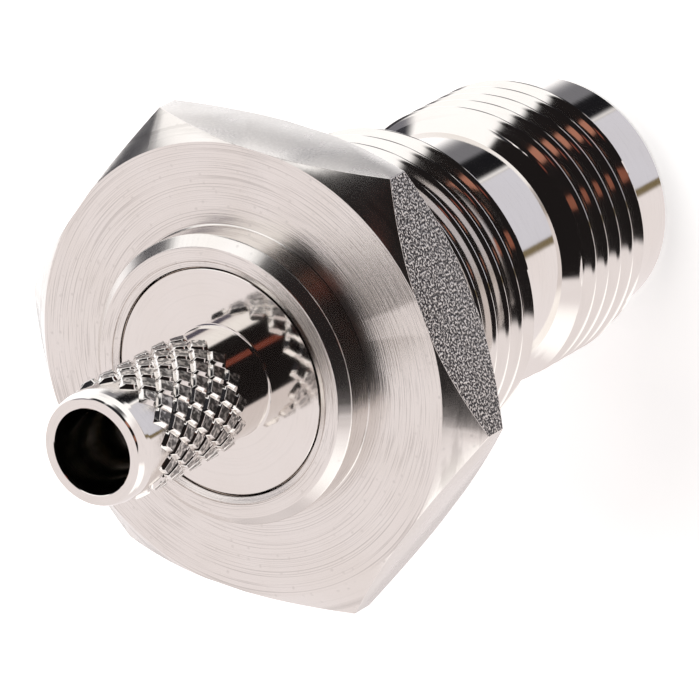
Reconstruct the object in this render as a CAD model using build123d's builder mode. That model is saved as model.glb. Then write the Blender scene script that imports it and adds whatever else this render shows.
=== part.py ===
from build123d import *
import os
from math import cos, pi, radians, tan

# Bulkhead jack of the threaded 50 ohm coaxial family, with a crimp stem for 3 mm cable.
# Lengths are in millimetres. The axis of every piece is Z. The face of the flange that seats
# on the panel lies at Z = 0, the cable end points up and the mating end points down.

# Hexagonal flange, turned back to a cone on both sides
flange_across_flats = 17.46
flange_thickness = 3.25
flange_face_overrun = 0.04
flange_cone_angle = 41.0

# Boss on the cable side of the flange
boss_diameter = 11.20
boss_height = 1.50
boss_chamfer = 0.38

# Barrel that carries the panel thread, at the diameter over the crests
panel_thread_diameter = 12.70
panel_barrel_length = 7.55
panel_thread_chamfer = 0.45

# Plain neck, mating thread at the diameter over the crests, and the plain lip in front of it
neck_diameter = 9.68
neck_length = 3.97
mating_thread_diameter = 11.11
mating_barrel_length = 5.63
mating_thread_back_chamfer = 0.36
lip_diameter = 9.68
lip_length = 2.25
lip_edge_chamfer = 0.20

# Stepped bore of the body
mating_bore_diameter = 8.10
mating_bore_depth = 5.20
mating_bore_lead_in = 0.25
web_thickness = 0.80
main_bore_diameter = 6.60
seat_bore_diameter = 8.84
seat_mouth_width = 0.28
seat_mouth_depth = 0.10

# Crimp stem: a disc pressed into the boss, with a knurled tube for the braid
disc_thickness = 1.60
disc_recess = 0.10
disc_gap = 0.03
disc_edge_chamfer = 0.06
shank_length = 1.57
shank_diameter = 4.32
shank_fillet = 0.12
knurl_diameter = 4.64
knurl_length = 5.70
tip_length = 1.00
tip_chamfer = 0.17
cable_bore_diameter = 3.22
cable_bore_edge = 0.06

# Insulator, held between the web of the body and the disc of the stem
nose_diameter = 4.75
nose_setback = 0.35
nose_chamfer = 0.20
insulator_clearance = 0.02

# Centre contact: slotted socket in front, collar that snaps in, crimp barrel behind
socket_diameter = 2.20
socket_length = 9.70
socket_setback = 0.30
socket_bore_diameter = 1.40
socket_bore_depth = 5.00
socket_bore_lead_in = 0.15
slot_width = 0.22
slot_length = 4.20
slot_count = 4
collar_diameter = 2.80
collar_length = 0.80
barrel_diameter = 2.50
barrel_setback = 0.40
conductor_bore_diameter = 1.05
conductor_bore_depth = 4.50
sight_hole_diameter = 0.50
sight_hole_distance = 3.20
contact_clearance = 0.02

# Heights that follow from the sizes above
flange_top = flange_thickness
boss_top = flange_top + boss_height
panel_barrel_end = -panel_barrel_length
neck_end = panel_barrel_end - neck_length
mating_barrel_end = neck_end - mating_barrel_length
front_rim = mating_barrel_end - lip_length
mating_bore_floor = front_rim + mating_bore_depth
web_top = mating_bore_floor + web_thickness
disc_top = boss_top - disc_recess
disc_bottom = disc_top - disc_thickness
knurl_bottom = disc_top + shank_length
knurl_top = knurl_bottom + knurl_length
stem_top = knurl_top + tip_length
nose_front = front_rim + nose_setback
socket_front = nose_front + socket_setback
collar_bottom = socket_front + socket_length
collar_top = collar_bottom + collar_length
barrel_top = disc_bottom - barrel_setback

# Radii used by more than one piece
panel_radius = panel_thread_diameter / 2
mating_radius = mating_thread_diameter / 2
main_bore_radius = main_bore_diameter / 2
insulator_radius = main_bore_radius - insulator_clearance
nose_radius = nose_diameter / 2
web_radius = nose_radius + insulator_clearance
disc_radius = seat_bore_diameter / 2 - disc_gap
collar_hole_radius = collar_diameter / 2 + contact_clearance
socket_hole_radius = socket_diameter / 2 + contact_clearance

os.makedirs("parts", exist_ok=True)


# Body: flange, boss, both threaded barrels and the lip are one turning from hexagonal bar
flange_face_radius = flange_across_flats / 2 + flange_face_overrun
flange_corner_radius = flange_across_flats / 2 / cos(pi / 6)
cone_drop = (flange_corner_radius - flange_face_radius) * tan(radians(flange_cone_angle))

with BuildPart() as body:
    with BuildSketch(Plane.XY):
        RegularPolygon(flange_across_flats / 2, 6, major_radius=False)
    extrude(amount=flange_thickness)
    # Both cones cut the corners, which leaves lens-shaped flats
    with BuildSketch(Plane.XZ):
        with BuildLine():
            Polyline(
                (0, 0),
                (flange_face_radius, 0),
                (flange_corner_radius, cone_drop),
                (flange_corner_radius, flange_top - cone_drop),
                (flange_face_radius, flange_top),
                (0, flange_top),
                close=True,
            )
        make_face()
    revolve(axis=Axis.Z, mode=Mode.INTERSECT)
    # Boss above the flange
    with BuildSketch(Plane.XY.offset(flange_top)):
        Circle(boss_diameter / 2)
    extrude(amount=boss_height)
    chamfer(body.edges().group_by(Axis.Z)[-1], boss_chamfer)
    # Turned outline below the flange: panel thread, neck, mating thread, lip
    mating_front_chamfer = (mating_thread_diameter - lip_diameter) / 2
    with BuildSketch(Plane.XZ):
        with BuildLine():
            Polyline(
                (0, 0),
                (panel_radius, 0),
                (panel_radius, panel_barrel_end + panel_thread_chamfer),
                (panel_radius - panel_thread_chamfer, panel_barrel_end),
                (neck_diameter / 2, panel_barrel_end),
                (neck_diameter / 2, neck_end),
                (mating_radius - mating_thread_back_chamfer, neck_end),
                (mating_radius, neck_end - mating_thread_back_chamfer),
                (mating_radius, mating_barrel_end + mating_front_chamfer),
                (lip_diameter / 2, mating_barrel_end),
                (lip_diameter / 2, front_rim + lip_edge_chamfer),
                (lip_diameter / 2 - lip_edge_chamfer, front_rim),
                (0, front_rim),
                close=True,
            )
        make_face()
    revolve(axis=Axis.Z)
    # Stepped bore: mating bore, web, main bore and the seat of the disc
    with BuildSketch(Plane.XZ):
        with BuildLine():
            Polyline(
                (0, front_rim),
                (mating_bore_diameter / 2 + mating_bore_lead_in, front_rim),
                (mating_bore_diameter / 2, front_rim + mating_bore_lead_in),
                (mating_bore_diameter / 2, mating_bore_floor),
                (web_radius, mating_bore_floor),
                (web_radius, web_top),
                (main_bore_radius, web_top),
                (main_bore_radius, disc_bottom),
                (seat_bore_diameter / 2, disc_bottom),
                (seat_bore_diameter / 2, boss_top - seat_mouth_depth),
                (seat_bore_diameter / 2 + seat_mouth_width, boss_top),
                (0, boss_top),
                close=True,
            )
        make_face()
    revolve(axis=Axis.Z, mode=Mode.SUBTRACT)
body.part.label = "body"
export_step(body.part, "parts/body.step")


# Crimp stem: disc, shank, knurled band and tip are one turning with a through bore
with BuildPart() as crimp_stem:
    with BuildSketch(Plane.XZ):
        with BuildLine():
            Polyline(
                (cable_bore_diameter / 2, disc_bottom),
                (disc_radius, disc_bottom),
                (disc_radius, disc_top - disc_edge_chamfer),
                (disc_radius - disc_edge_chamfer, disc_top),
                (shank_diameter / 2, disc_top),
                (shank_diameter / 2, knurl_bottom),
                (knurl_diameter / 2, knurl_bottom),
                (knurl_diameter / 2, knurl_top),
                (shank_diameter / 2, knurl_top),
                (shank_diameter / 2, stem_top - tip_chamfer),
                (shank_diameter / 2 - tip_chamfer, stem_top),
                (cable_bore_diameter / 2 + cable_bore_edge, stem_top),
                (cable_bore_diameter / 2, stem_top - cable_bore_edge),
                close=True,
            )
        make_face()
    revolve(axis=Axis.Z)
    foot = crimp_stem.edges().filter_by(GeomType.CIRCLE).filter_by(
        lambda edge: abs(edge.radius - shank_diameter / 2) < 1e-6
        and abs(edge.center().Z - disc_top) < 1e-6
    )
    fillet(foot, shank_fillet)
crimp_stem.part.label = "crimp_stem"
export_step(crimp_stem.part, "parts/crimp_stem.step")


# Insulator: fills the main bore and carries the nose that stands in the mating bore
with BuildPart() as insulator:
    with BuildSketch(Plane.XZ):
        with BuildLine():
            Polyline(
                (socket_hole_radius, nose_front),
                (nose_radius - nose_chamfer, nose_front),
                (nose_radius, nose_front + nose_chamfer),
                (nose_radius, web_top),
                (insulator_radius, web_top),
                (insulator_radius, disc_bottom),
                (collar_hole_radius, disc_bottom),
                (collar_hole_radius, collar_bottom),
                (socket_hole_radius, collar_bottom),
                close=True,
            )
        make_face()
    revolve(axis=Axis.Z)
insulator.part.label = "insulator"
export_step(insulator.part, "parts/insulator.step")


# Centre contact: turned pin with a spring socket, a collar and a crimp barrel
with BuildPart() as center_contact:
    with BuildSketch(Plane.XZ):
        with BuildLine():
            Polyline(
                (0, socket_front + socket_bore_depth),
                (socket_bore_diameter / 2, socket_front + socket_bore_depth),
                (socket_bore_diameter / 2, socket_front + socket_bore_lead_in),
                (socket_bore_diameter / 2 + socket_bore_lead_in, socket_front),
                (socket_diameter / 2, socket_front),
                (socket_diameter / 2, collar_bottom),
                (collar_diameter / 2, collar_bottom),
                (barrel_diameter / 2, collar_top),
                (barrel_diameter / 2, barrel_top),
                (conductor_bore_diameter / 2, barrel_top),
                (conductor_bore_diameter / 2, barrel_top - conductor_bore_depth),
                (0, barrel_top - conductor_bore_depth),
                close=True,
            )
        make_face()
    revolve(axis=Axis.Z)
    # Slots that part the socket into spring fingers
    with BuildSketch(Plane.XY.offset(socket_front)):
        with PolarLocations(socket_diameter / 2, slot_count):
            Rectangle(socket_diameter, slot_width)
    extrude(amount=slot_length, mode=Mode.SUBTRACT)
    # Sight hole into the crimp barrel
    with BuildSketch(Plane.YZ):
        with Locations((0, barrel_top - sight_hole_distance)):
            Circle(sight_hole_diameter / 2)
    extrude(amount=barrel_diameter, mode=Mode.SUBTRACT)
center_contact.part.label = "center_contact"
export_step(center_contact.part, "parts/center_contact.step")
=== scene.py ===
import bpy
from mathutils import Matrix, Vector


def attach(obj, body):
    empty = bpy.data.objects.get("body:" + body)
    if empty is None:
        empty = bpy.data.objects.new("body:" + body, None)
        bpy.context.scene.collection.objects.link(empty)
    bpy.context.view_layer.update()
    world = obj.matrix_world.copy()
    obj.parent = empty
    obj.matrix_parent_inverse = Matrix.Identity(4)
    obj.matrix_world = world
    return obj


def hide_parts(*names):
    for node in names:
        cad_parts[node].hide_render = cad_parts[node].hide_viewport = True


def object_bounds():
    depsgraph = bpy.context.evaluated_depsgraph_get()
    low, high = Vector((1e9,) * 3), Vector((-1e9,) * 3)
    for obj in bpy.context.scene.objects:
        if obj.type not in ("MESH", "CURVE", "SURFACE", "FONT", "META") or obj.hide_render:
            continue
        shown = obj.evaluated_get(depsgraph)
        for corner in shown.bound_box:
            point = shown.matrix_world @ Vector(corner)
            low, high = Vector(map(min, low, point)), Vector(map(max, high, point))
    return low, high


bl_info = {
    "name": "Bulkhead Jack",
    "version": (1, 0, 0),
    "blender": (4, 5, 0),
    "location": "View3D > Sidebar > Jack",
    "description": "Dresses a coaxial bulkhead jack with threads, knurl, plating and a studio",
    "category": "Object",
}

from math import atan2, cos, degrees, hypot, pi, radians, sin, tan

import bmesh
import bpy
from bpy.props import FloatProperty, FloatVectorProperty, IntProperty, PointerProperty
from mathutils import Euler, Vector

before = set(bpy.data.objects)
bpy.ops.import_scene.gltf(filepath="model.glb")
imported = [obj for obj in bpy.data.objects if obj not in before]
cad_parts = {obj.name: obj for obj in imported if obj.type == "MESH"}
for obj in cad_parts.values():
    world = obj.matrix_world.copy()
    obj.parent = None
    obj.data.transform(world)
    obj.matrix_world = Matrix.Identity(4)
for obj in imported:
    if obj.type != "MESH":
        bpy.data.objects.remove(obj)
cad_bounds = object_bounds()

# The pieces are modelled in millimetres, as their drawings are, and scaled once when finished
MM = 0.001
FULL_TURN = 2 * pi
# Edges that turn by more than this are shown sharp
CREASE_ANGLE = radians(30)
# Long runs of an outline get a point this far from each end, in mm, so that they stay straight
HOLD = 0.03
MERGE_GAP = 2e-4

# Flange over its flats, in mm, and the bearing of the flat that keeps the bar's rolled skin
FLANGE_FLATS = 17.46
ROLLED_FLAT = 90

# The camera of the photograph, in the part's frame
CAMERA_PLACE = Vector((-31.3436, 182.3828, 232.029)) * MM
CAMERA_TURN = Euler((radians(-20.901), radians(32.746), radians(64.928)), "XYZ")
CAMERA_LENS = 8000 / 700 * 36

# Knurl: rows of diamonds, the height of the row nearest the tip in mm, and a diamond's levels
# as (share of its full outline, radius in mm)
KNURL_ROWS = 9
FIRST_ROW_HEIGHT = 11.13
PAD_LEVELS = [
    (0.97, 2.10),
    (1.0, 2.17),
    (0.70, 2.295),
    (0.66, 2.315),
    (0.58, 2.32),
    (0.30, 2.315),
    (0.12, 2.31),
]
PAD_CORNERS = 16
# Levels inside this share of a diamond are its rough top, with painted shade in its hollows; the walls
# outside it are bright
PAD_TOP = 0.65

# Cards on the tent: degrees right of and above the camera as seen from the part, size and
# softness in degrees, and colour
TENT_CARDS = [
    (-40, 70, 62, 20, (1.35, 1.35, 1.35)),
    (-165, 30, 38, 16, (1.4, 1.4, 1.42)),
    (95, -55, 28, 10, (1.5, 1.48, 1.46)),
    (160, 52, 11, 16, (0.22, 0.22, 0.24)),
    (113, 29.5, 23, 2.5, (0.22, 0.17, 0.09)),
    (113, 31.5, 21, 1.5, (0.78, 0.78, 0.85)),
    (139, 56.5, 8, 4, (0.012, 0.012, 0.014)),
    (-113, 25, 13, 8, (0.05, 0.05, 0.06)),
    (-94, 15, 8, 8, (0.22, 0.22, 0.25)),
    (-71, 0, 7, 6, (0.13, 0.12, 0.16)),
    (-70, 72, 14, 6, (0.03, 0.03, 0.035)),
    (20, 57, 22, 10, (0.03, 0.03, 0.035)),
    (10, 6, 50, 4, (0.014, 0.012, 0.012)),
    (-9, 12, 3.5, 2.5, (0.28, 0.08, 0.055)),
    (-23, 6.5, 4, 2, (0.50, 0.22, 0.15)),
    (-9.5, -14, 3, 2, (0.30, 0.11, 0.07)),
    (43, 33, 6, 4, (0.50, 0.22, 0.15)),
    (52, 8, 5, 4, (0.40, 0.17, 0.11)),
]


class JackSizes(bpy.types.PropertyGroup):
    """Sizes of the details that the solids leave plain."""

    steps: IntProperty(
        name="Steps", description="Steps in a full turn of a turned surface", default=144, min=24
    )
    thread_pitch: FloatProperty(
        name="Thread pitch",
        description="Pitch of both threads, 28 to the inch",
        default=0.000907,
        unit="LENGTH",
    )
    thread_depth: FloatProperty(
        name="Thread depth", description="Crest to root", default=0.00052, unit="LENGTH"
    )
    panel_thread_turn: FloatProperty(
        name="Panel thread turn",
        description="Where the panel thread starts",
        default=radians(94),
        subtype="ANGLE",
    )
    mating_thread_turn: FloatProperty(
        name="Mating thread turn",
        description="Where the mating thread starts",
        default=radians(74),
        subtype="ANGLE",
    )
    flat_edge_bevel: FloatProperty(
        name="Flat edge", description="Worn edge around each flat", default=0.00003, unit="LENGTH"
    )
    knurl_columns: IntProperty(
        name="Knurl columns", description="Diamonds around the stem", default=15, min=6
    )
    knurl_pitch: FloatProperty(
        name="Knurl pitch", description="Length of a diamond", default=0.00112, unit="LENGTH"
    )
    knurl_turn: FloatProperty(
        name="Knurl turn",
        description="Place of the first diamond around the stem",
        default=radians(108),
        subtype="ANGLE",
    )


class JackFinish(bpy.types.PropertyGroup):
    """Colours of the finishes."""

    nickel: FloatVectorProperty(
        name="Nickel", description="Bright nickel plating", default=(0.80, 0.77, 0.75), subtype="COLOR"
    )
    gold: FloatVectorProperty(
        name="Gold", description="Thin gold on the contact", default=(0.86, 0.62, 0.28), subtype="COLOR"
    )
    ptfe: FloatVectorProperty(
        name="Insulator", description="White insulator", default=(0.86, 0.86, 0.84), subtype="COLOR"
    )


class JackStudio(bpy.types.PropertyGroup):
    """Floor and light."""

    floor_colour: FloatVectorProperty(
        name="Floor", description="Pale floor", default=(0.82, 0.81, 0.80), subtype="COLOR"
    )
    lamp_power: FloatProperty(
        name="Lamp power", description="Power of the large overhead lamp", default=1.2, unit="POWER"
    )
    tent_strength: FloatProperty(
        name="Tent", description="Brightness of the white tent around the part", default=1.0
    )


def new_piece(bm, name, finishes, slot, *nodes):
    """Scale a finished mesh to metres, shade it and put it in place of its plain solids."""
    bmesh.ops.remove_doubles(bm, verts=bm.verts, dist=MERGE_GAP)
    bmesh.ops.dissolve_degenerate(bm, dist=MERGE_GAP / 4, edges=bm.edges)
    bmesh.ops.recalc_face_normals(bm, faces=bm.faces)
    for face in bm.faces:
        face.smooth = True
    for edge in bm.edges:
        if edge.is_manifold and edge.calc_face_angle() > CREASE_ANGLE:
            edge.smooth = False
    bmesh.ops.scale(bm, vec=(MM, MM, MM), verts=bm.verts)
    mesh = bpy.data.meshes.new(name)
    bm.to_mesh(mesh)
    bm.free()
    for finish in finishes:
        mesh.materials.append(bpy.data.materials[finish])
    piece = bpy.data.objects.new(name, mesh)
    bpy.context.scene.collection.objects.link(piece)
    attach(piece, "root")
    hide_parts(*nodes)
    return piece


def held(points):
    """The same outline with a point near each end of every long run."""
    out = [points[0]]
    for (r0, z0), (r1, z1) in zip(points, points[1:]):
        length = hypot(r1 - r0, z1 - z0)
        if length > 4 * HOLD:
            share = HOLD / length
            out.append((r0 + (r1 - r0) * share, z0 + (z1 - z0) * share))
            out.append((r1 + (r0 - r1) * share, z1 + (z0 - z1) * share))
        out.append((r1, z1))
    return out


def turn_outline(bm, points, steps, closed=False):
    """Spin a chain of (radius, height) points about the axis and return its faces."""
    verts = [bm.verts.new((radius, 0, height)) for radius, height in held(points)]
    pairs = list(zip(verts, verts[1:]))
    if closed:
        pairs.append((verts[-1], verts[0]))
    edges = [bm.edges.new(pair) for pair in pairs]
    before = set(bm.faces)
    bmesh.ops.spin(
        bm,
        geom=verts + edges,
        cent=(0, 0, 0),
        axis=(0, 0, 1),
        dvec=(0, 0, 0),
        angle=FULL_TURN,
        steps=steps,
        use_merge=True,
        use_duplicate=False,
    )
    return [face for face in bm.faces if face not in before]


def linked(verts):
    """The edges and faces that join these vertices, as one list."""
    edges = list({edge for vert in verts for edge in vert.link_edges})
    return edges + list({face for vert in verts for face in vert.link_faces})


def bearing_of(place):
    """Degrees from +X about the axis, from 0 to 360."""
    return degrees(atan2(place.y, place.x)) % 360


def is_flat(face):
    """True for the six lens-shaped flats of the hexagon."""
    middle = face.calc_center_median()
    upright = abs(face.normal.z) < 0.02
    return upright and face.calc_area() > 1 and hypot(middle.x, middle.y) > 8.5


def limit_at(limits, height):
    """Radius of the blank at a height, read along its straight runs."""
    for (low_radius, low), (high_radius, high) in zip(limits, limits[1:]):
        if low <= height <= high:
            share = (height - low) / (high - low)
            return low_radius + share * (high_radius - low_radius)
    return limits[0][0] if height < limits[0][1] else limits[-1][0]


def cut_thread(bm, limits, pitch, depth, steps, turn):
    """Spin one pitch of a right-hand thread along the axis, held inside the blank's outline.

    limits are the blank's (radius, height) points from the bottom up. Its two ends are no wider
    than the root, so the helix closes there on plain circles that the turning goes on from."""
    crest = max(radius for radius, height in limits)
    root = crest - depth
    bottom, top = limits[0][1], limits[-1][1]
    flank = depth * tan(radians(30))
    crest_flat = pitch / 9
    root_flat = pitch - crest_flat - 2 * flank
    ease = 0.035
    profile = [(root, 0.0), (root, root_flat / 2 - ease), (root + ease, root_flat / 2 + ease / 2)]
    for share in (0.3, 0.5, 0.7):
        profile.append((root + share * depth, root_flat / 2 + share * flank))
    profile += [
        (crest - ease, root_flat / 2 + flank - ease / 2),
        (crest, root_flat / 2 + flank + ease),
    ]
    profile += [(radius, pitch - height) for radius, height in reversed(profile)]
    start = bottom - pitch * (1 + turn / FULL_TURN)
    before = set(bm.verts)
    verts = [bm.verts.new((radius, 0, start + height)) for radius, height in profile]
    edges = [bm.edges.new(pair) for pair in zip(verts, verts[1:])]
    bmesh.ops.spin(
        bm,
        geom=verts + edges,
        cent=(0, 0, 0),
        axis=(0, 0, 1),
        dvec=(0, 0, pitch / steps),
        angle=FULL_TURN,
        steps=steps,
        use_merge=False,
        use_duplicate=False,
    )
    # The first turn is repeated a pitch further on until the blank is covered
    turned = [vert for vert in bm.verts if vert not in before]
    first = turned + linked(turned)
    for index in range(1, int((top - start) / pitch) + 1):
        copy = bmesh.ops.duplicate(bm, geom=first)["geom"]
        moved = [item for item in copy if isinstance(item, bmesh.types.BMVert)]
        bmesh.ops.translate(bm, vec=(0, 0, pitch * index), verts=moved)
    for vert in [v for v in bm.verts if v not in before]:
        height = min(max(vert.co.z, bottom), top)
        radius = hypot(vert.co.x, vert.co.y)
        share = min(radius, limit_at(limits, height)) / radius
        vert.co = (vert.co.x * share, vert.co.y * share, height)


def add_pad(bm, bearing, height, half_angle, half_pitch):
    """Raise one diamond through its levels, wrap it onto the stem and repeat it round a row."""
    before = set(bm.verts)
    bmesh.ops.create_circle(bm, cap_ends=True, radius=1, segments=PAD_CORNERS)
    base = [vert for vert in bm.verts if vert not in before]
    for vert in base:
        vert.co /= abs(vert.co.x) + abs(vert.co.y)
        vert.co.z = PAD_LEVELS[0][1]
    top = base[0].link_faces[0]
    for (outer, low), (inner, high) in zip(PAD_LEVELS, PAD_LEVELS[1:]):
        top.material_index = 2 if inner < PAD_TOP else 0
        raised = bmesh.ops.extrude_face_region(bm, geom=[top])["geom"]
        verts = [item for item in raised if isinstance(item, bmesh.types.BMVert)]
        bmesh.ops.scale(bm, vec=(inner / outer, inner / outer, 1), verts=verts)
        bmesh.ops.translate(bm, vec=(0, 0, high - low), verts=verts)
        top = next(item for item in raised if isinstance(item, bmesh.types.BMFace))
    pad = [vert for vert in bm.verts if vert not in before]
    for vert in pad:
        across, along, radius = vert.co
        angle = bearing + across * half_angle
        vert.co = (radius * cos(angle), radius * sin(angle), height + along * half_pitch)
    columns = round(pi / half_angle)
    bmesh.ops.spin(
        bm,
        geom=pad + linked(pad),
        cent=(0, 0, 0),
        axis=(0, 0, 1),
        dvec=(0, 0, 0),
        angle=FULL_TURN * (columns - 1) / columns,
        steps=columns - 1,
        use_merge=False,
        use_duplicate=True,
    )


def principled(name):
    """A new material with its shader and output, ready for its own nodes."""
    material = bpy.data.materials.new(name)
    material.use_nodes = True
    tree = material.node_tree
    return material, tree, tree.nodes["Principled BSDF"]


def group_sockets(tree, inputs, outputs):
    """Add named float, vector or colour sockets to a shader node group."""
    for name, kind, default in inputs:
        socket = tree.interface.new_socket(name=name, in_out="INPUT", socket_type=kind)
        socket.default_value = default
    for name, kind in outputs:
        tree.interface.new_socket(name=name, in_out="OUTPUT", socket_type=kind)
    return tree.nodes.new("NodeGroupInput"), tree.nodes.new("NodeGroupOutput")


def math_node(tree, operation, first, second=None):
    """A Math node; its inputs are sockets or plain numbers."""
    node = tree.nodes.new("ShaderNodeMath")
    node.operation = operation
    for index, value in enumerate((first, second)):
        if value is None:
            continue
        if isinstance(value, bpy.types.NodeSocket):
            tree.links.new(value, node.inputs[index])
        else:
            node.inputs[index].default_value = value
    return node.outputs[0]


def ring_marks_group():
    """Fine rings that a cutting tool leaves on a turned face or barrel, as a height."""
    tree = bpy.data.node_groups.new("ring_marks", "ShaderNodeTree")
    given, made = group_sockets(
        tree,
        [("Spacing", "NodeSocketFloat", 0.0001), ("Break up", "NodeSocketFloat", 4.0)],
        [("Height", "NodeSocketFloat")],
    )
    coordinates = tree.nodes.new("ShaderNodeTexCoord")
    separate = tree.nodes.new("ShaderNodeSeparateXYZ")
    tree.links.new(coordinates.outputs["Object"], separate.inputs[0])
    across = math_node(tree, "POWER", separate.outputs["X"], 2.0)
    along = math_node(tree, "POWER", separate.outputs["Y"], 2.0)
    radius = math_node(tree, "SQRT", math_node(tree, "ADD", across, along))
    reach = math_node(tree, "ADD", radius, separate.outputs["Z"])
    rings = math_node(tree, "DIVIDE", reach, given.outputs["Spacing"])
    side = math_node(tree, "DIVIDE", separate.outputs["X"], radius)
    wander = math_node(tree, "MULTIPLY", side, given.outputs["Break up"])
    combine = tree.nodes.new("ShaderNodeCombineXYZ")
    tree.links.new(rings, combine.inputs["X"])
    tree.links.new(wander, combine.inputs["Y"])
    noise = tree.nodes.new("ShaderNodeTexNoise")
    noise.noise_dimensions = "2D"
    noise.inputs["Scale"].default_value = 1.0
    noise.inputs["Detail"].default_value = 3.0
    tree.links.new(combine.outputs[0], noise.inputs["Vector"])
    tree.links.new(noise.outputs["Fac"], made.inputs["Height"])
    return tree


def plating_group():
    """Faint unevenness of plated metal: cloudy roughness and small pits."""
    tree = bpy.data.node_groups.new("plating", "ShaderNodeTree")
    given, made = group_sockets(
        tree,
        [
            ("Colour", "NodeSocketColor", (0.8, 0.77, 0.75, 1)),
            ("Roughness", "NodeSocketFloat", 0.1),
            ("Spread", "NodeSocketFloat", 0.05),
        ],
        [
            ("Colour", "NodeSocketColor"),
            ("Roughness", "NodeSocketFloat"),
            ("Pits", "NodeSocketFloat"),
        ],
    )
    coordinates = tree.nodes.new("ShaderNodeTexCoord")
    cloud = tree.nodes.new("ShaderNodeTexNoise")
    cloud.inputs["Scale"].default_value = 420
    cloud.inputs["Detail"].default_value = 4
    tree.links.new(coordinates.outputs["Object"], cloud.inputs["Vector"])
    spread = tree.nodes.new("ShaderNodeMapRange")
    spread.inputs["From Min"].default_value = 0.3
    spread.inputs["From Max"].default_value = 0.7
    spread.inputs["To Min"].default_value = -0.5
    spread.inputs["To Max"].default_value = 0.5
    tree.links.new(cloud.outputs["Fac"], spread.inputs["Value"])
    uneven = math_node(tree, "MULTIPLY", spread.outputs[0], given.outputs["Spread"])
    roughness = math_node(tree, "ADD", given.outputs["Roughness"], uneven)
    tree.links.new(roughness, made.inputs["Roughness"])
    tint = tree.nodes.new("ShaderNodeMix")
    tint.data_type = "RGBA"
    tint.blend_type = "MULTIPLY"
    tint.inputs["B"].default_value = (0.93, 0.91, 0.88, 1)
    tree.links.new(cloud.outputs["Fac"], tint.inputs["Factor"])
    tree.links.new(given.outputs["Colour"], tint.inputs["A"])
    tree.links.new(tint.outputs["Result"], made.inputs["Colour"])
    pits = tree.nodes.new("ShaderNodeTexVoronoi")
    pits.inputs["Scale"].default_value = 2400
    tree.links.new(coordinates.outputs["Object"], pits.inputs["Vector"])
    rim = tree.nodes.new("ShaderNodeMapRange")
    rim.inputs["From Min"].default_value = 0.05
    rim.inputs["From Max"].default_value = 0.22
    tree.links.new(pits.outputs["Distance"], rim.inputs["Value"])
    tree.links.new(rim.outputs[0], made.inputs["Pits"])
    return tree


def place_group(tree, group):
    """Put a shared group into a material."""
    node = tree.nodes.new("ShaderNodeGroup")
    node.node_tree = bpy.data.node_groups[group]
    return node


def paint_shade(tree, plating, mask, tone):
    """Paint shade into the plating's colour: darken it where the mask is high, on its way to the
    shader.
    """
    darker = tree.nodes.new("ShaderNodeMix")
    darker.data_type = "RGBA"
    darker.blend_type = "MULTIPLY"
    darker.inputs["B"].default_value = tone
    tree.links.new(mask, darker.inputs["Factor"])
    tree.links.new(plating.outputs["Colour"], darker.inputs["A"])
    tree.links.new(darker.outputs["Result"], tree.nodes["Principled BSDF"].inputs["Base Color"])


def nickel_material(name, roughness, spread, ring_spacing, ring_depth, anisotropy, painted_shade):
    """Nickel plating over a turned surface. Painted shade darkens the grooves of its tool marks and its
    small pits.
    """
    material, tree, shader = principled(name)
    colour = bpy.context.scene.jack_finish.nickel
    shader.inputs["Metallic"].default_value = 1
    plating = place_group(tree, "plating")
    plating.inputs["Colour"].default_value = (*colour, 1)
    plating.inputs["Roughness"].default_value = roughness
    plating.inputs["Spread"].default_value = spread
    tree.links.new(plating.outputs["Roughness"], shader.inputs["Roughness"])
    rings = place_group(tree, "ring_marks")
    rings.inputs["Spacing"].default_value = ring_spacing
    # Painted shade: the colour goes darker in the grooves of the tool marks and at small pits, by the
    # given amount
    grooves = tree.nodes.new("ShaderNodeMapRange")
    grooves.inputs["From Min"].default_value = 0.48
    grooves.inputs["From Max"].default_value = 0.30
    grooves.inputs["To Max"].default_value = painted_shade
    tree.links.new(rings.outputs["Height"], grooves.inputs["Value"])
    specks = math_node(tree, "SUBTRACT", 1.0, plating.outputs["Pits"])
    specks = math_node(tree, "MULTIPLY", specks, painted_shade * 0.6)
    mask = math_node(tree, "MAXIMUM", grooves.outputs[0], specks)
    paint_shade(tree, plating, mask, (0.18, 0.16, 0.15, 1))
    bump = tree.nodes.new("ShaderNodeBump")
    bump.inputs["Strength"].default_value = 1
    bump.inputs["Distance"].default_value = ring_depth
    tree.links.new(rings.outputs["Height"], bump.inputs["Height"])
    tree.links.new(bump.outputs["Normal"], shader.inputs["Normal"])
    if anisotropy:
        shader.inputs["Anisotropic"].default_value = anisotropy
        shader.inputs["Anisotropic Rotation"].default_value = 0.25
        tangent = tree.nodes.new("ShaderNodeTangent")
        tangent.direction_type = "RADIAL"
        tangent.axis = "Z"
        tree.links.new(tangent.outputs[0], shader.inputs["Tangent"])
    return material


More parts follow.
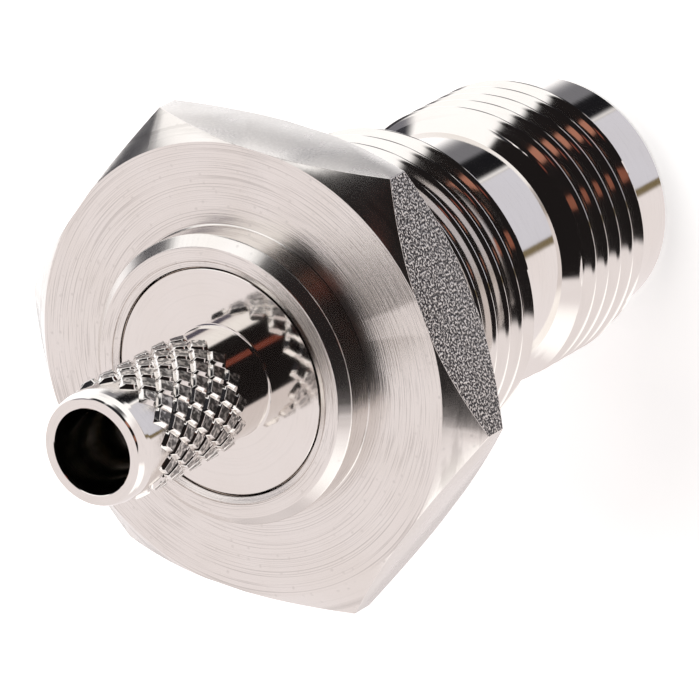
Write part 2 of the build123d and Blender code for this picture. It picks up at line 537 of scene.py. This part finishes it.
def bar_nickel(name, roughness, grain_scale, grain_depth, painted_shade):
    """The flats keep the skin of the bar under the plating, with painted shade darkening its hollows.
    """
    material, tree, shader = principled(name)
    shader.inputs["Metallic"].default_value = 1
    plating = place_group(tree, "plating")
    plating.inputs["Colour"].default_value = (*bpy.context.scene.jack_finish.nickel, 1)
    plating.inputs["Roughness"].default_value = roughness
    plating.inputs["Spread"].default_value = 0.1
    tree.links.new(plating.outputs["Roughness"], shader.inputs["Roughness"])
    coordinates = tree.nodes.new("ShaderNodeTexCoord")
    grain = tree.nodes.new("ShaderNodeTexNoise")
    grain.inputs["Scale"].default_value = grain_scale
    grain.inputs["Detail"].default_value = 1
    grain.inputs["Roughness"].default_value = 0.5
    tree.links.new(coordinates.outputs["Object"], grain.inputs["Vector"])
    # Painted shade: the colour goes nearly black in the hollows of the grain, by the given amount
    hollows = tree.nodes.new("ShaderNodeMapRange")
    hollows.inputs["From Min"].default_value = 0.64
    hollows.inputs["From Max"].default_value = 0.46
    hollows.inputs["To Max"].default_value = painted_shade
    tree.links.new(grain.outputs["Fac"], hollows.inputs["Value"])
    paint_shade(tree, plating, hollows.outputs[0], (0.04, 0.04, 0.045, 1))
    bump = tree.nodes.new("ShaderNodeBump")
    bump.inputs["Strength"].default_value = 1
    bump.inputs["Distance"].default_value = grain_depth
    tree.links.new(grain.outputs["Fac"], bump.inputs["Height"])
    tree.links.new(bump.outputs["Normal"], shader.inputs["Normal"])
    return material


def plain_material(name, colour, roughness, metallic):
    """Insulator and contact finishes."""
    material, tree, shader = principled(name)
    shader.inputs["Metallic"].default_value = metallic
    plating = place_group(tree, "plating")
    plating.inputs["Colour"].default_value = (*colour, 1)
    plating.inputs["Roughness"].default_value = roughness
    plating.inputs["Spread"].default_value = 0.1
    tree.links.new(plating.outputs["Colour"], shader.inputs["Base Color"])
    tree.links.new(plating.outputs["Roughness"], shader.inputs["Roughness"])
    rings = place_group(tree, "ring_marks")
    bump = tree.nodes.new("ShaderNodeBump")
    bump.inputs["Distance"].default_value = 0.000003
    tree.links.new(rings.outputs["Height"], bump.inputs["Height"])
    tree.links.new(bump.outputs["Normal"], shader.inputs["Normal"])
    return material


class JACK_OT_finishes(bpy.types.Operator):
    """Make the shared node groups and the finishes"""

    bl_idname = "jack.finishes"
    bl_label = "Finishes"

    def execute(self, context):
        finish = context.scene.jack_finish
        ring_marks_group()
        plating_group()
        # The last number of each nickel finish is how strongly painted shade darkens its grooves, pits
        # or hollows
        nickel_material("nickel_bright", 0.08, 0.03, 0.00012, 0.0000006, 0, 0.03)
        nickel_material("nickel_face", 0.22, 0.06, 0.00005, 0.000008, 0.45, 0.26)
        bar_nickel("nickel_knurl", 0.28, 6000, 0.00001, 0.8)
        bar_nickel("nickel_rolled", 0.15, 11000, 0.00006, 1.0)
        bar_nickel("nickel_drawn", 0.28, 9000, 0.000004, 0.06)
        plain_material("ptfe", finish.ptfe, 0.45, 0)
        plain_material("gold", finish.gold, 0.2, 1)
        return {"FINISHED"}


class JACK_OT_body(bpy.types.Operator):
    """Turn the body with its flange and both threads"""

    bl_idname = "jack.body"
    bl_label = "Body"

    def execute(self, context):
        sizes = context.scene.jack_sizes
        steps = sizes.steps
        pitch = sizes.thread_pitch / MM
        depth = sizes.thread_depth / MM
        flat = FLANGE_FLATS / 2
        corner = flat / cos(radians(30))
        face_radius = flat + 0.04
        cone_drop = (corner - face_radius) * tan(radians(41))
        bm = bmesh.new()
        # Thread blanks, from the bottom up; each end is at the root
        panel_root = 6.35 - depth
        mating_root = 5.555 - depth
        panel_blank = [
            (panel_root, -7.55),
            (6.35, -7.55 + 0.45),
            (6.35, -0.85),
            (panel_root, -0.45),
        ]
        mating_blank = [
            (mating_root, -17.15 + 0.2),
            (5.555, -17.15 + 0.75),
            (5.555, -11.52 - 0.715),
            (4.84, -11.52),
        ]
        cut_thread(bm, panel_blank, pitch, depth, steps, sizes.panel_thread_turn)
        cut_thread(bm, mating_blank, pitch, depth, steps, sizes.mating_thread_turn)
        # Neck between the two threads
        turn_outline(
            bm,
            [(panel_root, -7.55), (4.84, -7.55), (4.84, -11.52)],
            steps,
        )
        # From the mating thread round the lip, up the bore, over the boss and down the flange
        turn_outline(
            bm,
            [
                (mating_root, -16.95),
                (4.84, -17.15),
                (4.84, -19.2),
                (4.64, -19.4),
                (4.30, -19.4),
                (4.05, -19.15),
                (4.05, -14.2),
                (2.395, -14.2),
                (2.395, -13.4),
                (3.3, -13.4),
                (3.3, 3.05),
                (4.42, 3.05),
                (4.42, 4.62),
                (4.44, 4.66),
                (4.65, 4.74),
                (4.67, 4.705),
                (4.70, 4.705),
                (4.715, 4.75),
                (5.20, 4.75),
                (5.24, 4.73),
                (5.58, 4.39),
                (5.60, 4.35),
                (5.60, 3.29),
                (5.64, 3.25),
                (face_radius, 3.25),
                (corner, 3.25 - cone_drop),
                (corner, cone_drop),
                (face_radius, 0),
                (panel_root, 0),
                (panel_root, -0.45),
            ],
            steps,
        )
        bmesh.ops.remove_doubles(bm, verts=bm.verts, dist=MERGE_GAP)
        # Six flats, cut through both cones and filled again
        for index in range(6):
            bearing = radians(30 + 60 * index)
            side = Vector((cos(bearing), sin(bearing), 0))
            cut = bmesh.ops.bisect_plane(
                bm,
                geom=bm.verts[:] + bm.edges[:] + bm.faces[:],
                dist=1e-5,
                plane_co=side * flat,
                plane_no=side,
                clear_outer=True,
            )
            rim = [item for item in cut["geom_cut"] if isinstance(item, bmesh.types.BMEdge)]
            bmesh.ops.contextual_create(bm, geom=rim)
        bmesh.ops.recalc_face_normals(bm, faces=bm.faces)
        rims = {edge for face in bm.faces if is_flat(face) for edge in face.edges}
        bmesh.ops.bevel(
            bm,
            geom=list(rims),
            offset=sizes.flat_edge_bevel / MM,
            offset_type="OFFSET",
            segments=2,
            profile=0.5,
            affect="EDGES",
            material=-1,
            clamp_overlap=True,
        )
        for face in bm.faces:
            middle = face.calc_center_median()
            if is_flat(face):
                face.material_index = 2 if abs(bearing_of(middle) - ROLLED_FLAT) < 1 else 3
            elif abs(face.normal.z) > 0.3 and middle.z > -0.1 and hypot(middle.x, middle.y) > 4.4:
                face.material_index = 1
        finishes = ("nickel_bright", "nickel_face", "nickel_rolled", "nickel_drawn")
        new_piece(bm, "turned_body", finishes, "body_nickel", "body")
        return {"FINISHED"}


class JACK_OT_stem(bpy.types.Operator):
    """Turn the crimp stem and knurl it"""

    bl_idname = "jack.stem"
    bl_label = "Crimp stem"

    def execute(self, context):
        sizes = context.scene.jack_sizes
        bm = bmesh.new()
        turn_outline(
            bm,
            [
                (1.61, 3.05),
                (4.39, 3.05),
                (4.39, 4.45),
                (4.355, 4.50),
                (4.345, 4.63),
                (4.325, 4.65),
                (2.26, 4.65),
                (2.19, 4.68),
                (2.16, 4.75),
                (2.16, 12.20),
                (2.15, 12.43),
                (2.115, 12.66),
                (2.06, 12.83),
                (2.02, 12.90),
                (1.96, 12.92),
                (1.665, 12.92),
                (1.64, 12.90),
                (1.61, 12.70),
            ],
            sizes.steps,
            closed=True,
        )
        for face in bm.faces:
            middle = face.calc_center_median()
            if face.normal.z > 0.5 and middle.z < 5:
                face.material_index = 1
        # Nine rows of diamonds, each a closed pad whose walls sink into the tube
        half_angle = pi / sizes.knurl_columns
        half_pitch = sizes.knurl_pitch / MM / 2
        for row in range(KNURL_ROWS):
            bearing = sizes.knurl_turn + half_angle * (row + 1)
            add_pad(bm, bearing, FIRST_ROW_HEIGHT - half_pitch * row, half_angle, half_pitch)
        finishes = ("nickel_bright", "nickel_face", "nickel_knurl")
        new_piece(bm, "knurled_stem", finishes, "stem_nickel", "crimp_stem")
        return {"FINISHED"}


class JACK_OT_inner(bpy.types.Operator):
    """Finish the insulator and the contact, which keep their solids"""

    bl_idname = "jack.inner"
    bl_label = "Insulator and contact"

    def execute(self, context):
        for node, finish in (("insulator", "ptfe"), ("center_contact", "gold")):
            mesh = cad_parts[node].data
            mesh.materials.clear()
            mesh.materials.append(bpy.data.materials[finish])
        return {"FINISHED"}


def view_direction(right, up):
    """Direction in the part's frame of a point seen from it: degrees right of and above the camera."""
    across, above = radians(right), radians(up)
    seen = Vector((sin(across) * cos(above), sin(above), cos(across) * cos(above)))
    return CAMERA_TURN.to_matrix() @ seen


def add_card(tree, under, direction, size, softness, colour):
    """Lay a round card of one colour over the tent, in one direction, and return the new colour."""
    toward = tree.nodes.new("ShaderNodeVectorMath")
    toward.operation = "DOT_PRODUCT"
    tree.links.new(tree.nodes["Sky direction"].outputs["Generated"], toward.inputs[0])
    toward.inputs[1].default_value = direction
    edge = tree.nodes.new("ShaderNodeMapRange")
    edge.interpolation_type = "SMOOTHSTEP"
    edge.inputs["From Min"].default_value = cos(radians(size + softness / 2))
    edge.inputs["From Max"].default_value = cos(radians(max(size - softness / 2, 0)))
    tree.links.new(toward.outputs["Value"], edge.inputs["Value"])
    mix = tree.nodes.new("ShaderNodeMix")
    mix.data_type = "RGBA"
    tree.links.new(edge.outputs[0], mix.inputs["Factor"])
    tree.links.new(under, mix.inputs["A"])
    mix.inputs["B"].default_value = (*colour, 1)
    return mix.outputs["Result"]


class JACK_OT_stage(bpy.types.Operator):
    """Lay the floor, hang the tent and the lamp, and place the camera"""

    bl_idname = "jack.stage"
    bl_label = "Stage"

    def execute(self, context):
        studio = context.scene.jack_studio
        scene = context.scene
        scene.view_settings.view_transform = "Standard"
        # Floor
        bm = bmesh.new()
        bmesh.ops.create_grid(bm, x_segments=2, y_segments=2, size=1.5)
        bmesh.ops.translate(bm, vec=(0, 0, cad_bounds[0][2]), verts=bm.verts)
        mesh = bpy.data.meshes.new("floor")
        bm.to_mesh(mesh)
        bm.free()
        floor = bpy.data.objects.new("floor", mesh)
        scene.collection.objects.link(floor)
        floor.visible_glossy = False
        material, tree, shader = principled("floor")
        shader.inputs["Base Color"].default_value = (*studio.floor_colour, 1)
        shader.inputs["Roughness"].default_value = 0.9
        shader.inputs["Specular IOR Level"].default_value = 0
        path = tree.nodes.new("ShaderNodeLightPath")
        shader.inputs["Emission Color"].default_value = (1, 1, 1, 1)
        seen = path.outputs["Is Camera Ray"]
        for ray in ("Is Glossy Ray", "Is Transmission Ray"):
            seen = math_node(tree, "MAXIMUM", seen, path.outputs[ray])
        glow = math_node(tree, "MULTIPLY", seen, 0.5)
        tree.links.new(glow, shader.inputs["Emission Strength"])
        # Seen from below, the floor is clear, so that the mating end shows
        geometry = tree.nodes.new("ShaderNodeNewGeometry")
        solid = math_node(tree, "SUBTRACT", 1.0, geometry.outputs["Backfacing"])
        tree.links.new(solid, shader.inputs["Alpha"])
        mesh.materials.append(material)
        # Tent
        world = bpy.data.worlds.new("tent")
        scene.world = world
        world.use_nodes = True
        tree = world.node_tree
        background = tree.nodes["Background"]
        coordinates = tree.nodes.new("ShaderNodeTexCoord")
        coordinates.name = "Sky direction"
        base = tree.nodes.new("ShaderNodeRGB")
        base.outputs[0].default_value = (1.0, 0.94, 0.94, 1)
        colour = base.outputs[0]
        for right, up, size, softness, tone in TENT_CARDS:
            colour = add_card(tree, colour, view_direction(right, up), size, softness, tone)
        path = tree.nodes.new("ShaderNodeLightPath")
        white = tree.nodes.new("ShaderNodeMix")
        white.data_type = "RGBA"
        clear = (path.outputs["Is Camera Ray"], path.outputs["Is Transmission Ray"])
        tree.links.new(math_node(tree, "MAXIMUM", *clear), white.inputs["Factor"])
        tree.links.new(colour, white.inputs["A"])
        white.inputs["B"].default_value = (1, 1, 1, 1)
        tree.links.new(white.outputs["Result"], background.inputs["Color"])
        background.inputs["Strength"].default_value = studio.tent_strength
        # Lamp
        light = bpy.data.lights.new("overhead", "AREA")
        light.energy = studio.lamp_power
        light.shape = "DISK"
        light.size = 0.3
        lamp = bpy.data.objects.new("overhead", light)
        lamp.location = (-0.2, 0.05, 0.45)
        lamp.rotation_euler = Vector(lamp.location).to_track_quat("Z", "Y").to_euler()
        lamp.visible_glossy = False
        scene.collection.objects.link(lamp)
        # Camera
        camera_data = bpy.data.cameras.new("camera")
        camera_data.sensor_fit = "HORIZONTAL"
        camera_data.sensor_width = 36
        camera_data.lens = CAMERA_LENS
        camera_data.clip_start = 0.01
        camera = bpy.data.objects.new("camera", camera_data)
        camera.location = CAMERA_PLACE
        camera.rotation_euler = CAMERA_TURN
        scene.collection.objects.link(camera)
        scene.camera = camera
        return {"FINISHED"}


class JACK_PT_panel(bpy.types.Panel):
    """Lists the steps of the jack"""

    bl_idname = "JACK_PT_panel"
    bl_label = "Bulkhead jack"
    bl_space_type = "VIEW_3D"
    bl_region_type = "UI"
    bl_category = "Jack"

    def draw(self, context):
        for group in ("jack_sizes", "jack_finish", "jack_studio"):
            values = getattr(context.scene, group)
            for name in values.__annotations__:
                self.layout.prop(values, name)
        for operator in OPERATORS:
            self.layout.operator(operator.bl_idname)


OPERATORS = (JACK_OT_finishes, JACK_OT_body, JACK_OT_stem, JACK_OT_inner, JACK_OT_stage)
GROUPS = {"jack_sizes": JackSizes, "jack_finish": JackFinish, "jack_studio": JackStudio}


def register():
    for group in GROUPS.values():
        bpy.utils.register_class(group)
    for operator in OPERATORS:
        bpy.utils.register_class(operator)
    bpy.utils.register_class(JACK_PT_panel)
    for name, group in GROUPS.items():
        setattr(bpy.types.Scene, name, PointerProperty(type=group))


def unregister():
    for name in GROUPS:
        delattr(bpy.types.Scene, name)
    bpy.utils.unregister_class(JACK_PT_panel)
    for operator in reversed(OPERATORS):
        bpy.utils.unregister_class(operator)
    for group in GROUPS.values():
        bpy.utils.unregister_class(group)


def main():
    register()
    bpy.ops.jack.finishes()
    bpy.ops.jack.body()
    bpy.ops.jack.stem()
    bpy.ops.jack.inner()
    bpy.ops.jack.stage()


if __name__ == "__main__":
    main()
